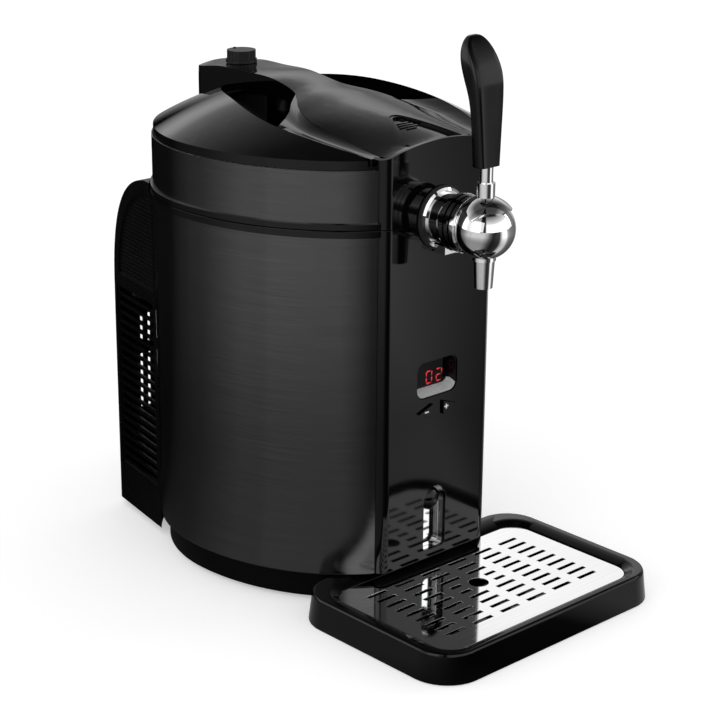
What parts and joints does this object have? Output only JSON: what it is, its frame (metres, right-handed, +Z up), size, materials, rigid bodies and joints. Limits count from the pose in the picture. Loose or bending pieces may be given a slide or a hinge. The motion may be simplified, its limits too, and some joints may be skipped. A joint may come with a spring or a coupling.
{
  "type": "mini keg beer dispenser",
  "caption": "Insulated tabletop cooler for a small keg, with a hinged domed lid, a carrying bridge, a lever tap on the front column, a display, a drip tray with grate and a rear fan housing.",
  "frame": {"origin": "centre of the footprint on the table, at the underside of the feet and the drip tray", "axes": "+X across the width, +Y from the tap side to the cooler housing behind, +Z up"},
  "size_m": [0.262, 0.442, 0.4473],
  "materials": {
    "base_black": "satin moulded",
    "rubber": "matte",
    "inner_plastic": "satin moulded",
    "brushed_black": "black, brushed round the body",
    "foam": "closed-cell foam",
    "well_metal": "drawn sheet, satin",
    "gloss_black": "high gloss",
    "display_lens": "smoked red lens",
    "circuit_board": "solder mask",
    "bright_metal": "polished stainless steel",
    "chrome": "mirror plated",
    "handle_black": "satin",
    "clear_hose": "milky flexible hose",
    "matte_black": "matte",
    "housing_black": "satin moulded",
    "screw_metal": "zinc plated",
    "raw_aluminium": "extruded",
    "ceramic": "ceramic plates"
  },
  "bodies": {
    "cabinet": {"base": "base_black", "bottom_plate": "base_black", "foot_pads": "rubber", "cabinet_floor": "inner_plastic", "outer_sleeve": "brushed_black", "foam_body": "foam", "keg_well": "well_metal", "keg_mat": "rubber", "top_deck": "inner_plastic", "body_collar": "gloss_black", "front_panel": "gloss_black", "display_bezel": "gloss_black", "display_window": "display_lens", "control_board": "circuit_board", "slot_liner": "bright_metal", "slot_cap": "gloss_black", "tap_shank": "chrome", "tap_flange": "chrome", "tap_gasket": "rubber", "tap_collar": "chrome", "tap_rings": "chrome", "tap_ball": "chrome", "tap_nozzle": "chrome", "beer_line": "clear_hose", "line_coupler": "matte_black", "latch_striker": "matte_black", "hinge_body": "matte_black", "hinge_pin": "bright_metal", "rear_housing": "housing_black", "housing_screws": "screw_metal", "mains_inlet": "matte_black", "cold_block": "raw_aluminium", "thermo_module": "ceramic", "heat_sink": "raw_aluminium", "fan_frame": "matte_black"},
    "lid": {"lid_cover": "gloss_black", "lid_spine": "gloss_black", "lid_front": "gloss_black", "lid_band": "brushed_black", "lid_lip": "gloss_black", "lid_insulation": "foam", "lid_liner": "inner_plastic", "lid_seal": "rubber", "hinge_lid": "matte_black"},
    "latch": {"latch_hooks": "matte_black"},
    "release": {"release_button": "gloss_black"},
    "regulator": {"regulator_knob": "matte_black"},
    "lever": {"tap_bonnet": "chrome", "tap_stem": "chrome", "tap_handle": "handle_black"},
    "minus_key": {"button_minus": "gloss_black"},
    "plus_key": {"button_plus": "gloss_black"},
    "tray": {"drip_tray": "gloss_black"},
    "grate": {"drip_grate": "bright_metal"},
    "impeller": {"fan_impeller": "matte_black"}
  },
  "joints": [
    {"name": "lid_hinge", "type": "hinge", "parent": "cabinet", "child": "lid", "pos_m": [0, 0.198, 0.3019], "axis": [-1, 0, 0], "range_deg": [0, 78]},
    {"name": "release_press", "type": "slide", "parent": "lid", "child": "release", "axis": [0, 0, -1], "range_m": [0, 0.0018], "stiffness_N_per_m": 600, "springref_m": -0.002},
    {"name": "latch_slide", "type": "slide", "parent": "lid", "child": "latch", "axis": [0, 1, 0], "range_m": [0, 0.002]},
    {"name": "regulator_turn", "type": "hinge", "parent": "lid", "child": "regulator", "pos_m": [0, 0.1475, 0.395], "axis": [0, 0, 1], "range_deg": [0, 300]},
    {"name": "tap_lever", "type": "hinge", "parent": "cabinet", "child": "lever", "pos_m": [0, -0.1315, 0.3053], "axis": [1, 0, 0], "range_deg": [0, 30]},
    {"name": "minus_press", "type": "slide", "parent": "cabinet", "child": "minus_key", "axis": [0, 1, 0], "range_m": [0, 0.001], "stiffness_N_per_m": 500, "springref_m": -0.001},
    {"name": "plus_press", "type": "slide", "parent": "cabinet", "child": "plus_key", "axis": [0, 1, 0], "range_m": [0, 0.001], "stiffness_N_per_m": 500, "springref_m": -0.001},
    {"name": "tray_slide", "type": "slide", "parent": "cabinet", "child": "tray", "axis": [0, -1, 0], "range_m": [0, 0.175]},
    {"name": "grate_tilt", "type": "hinge", "parent": "tray", "child": "grate", "pos_m": [0, -0.077, 0.0198], "axis": [-1, 0, 0], "range_deg": [0, 22]},
    {"name": "fan_spin", "type": "hinge", "parent": "cabinet", "child": "impeller", "pos_m": [0, 0.204, 0.127], "axis": [0, 1, 0], "continuous": true}
  ],
  "couplings": [
    {"joint": "latch_slide", "follows": "release_press", "ratio": 1.1}
  ]
}
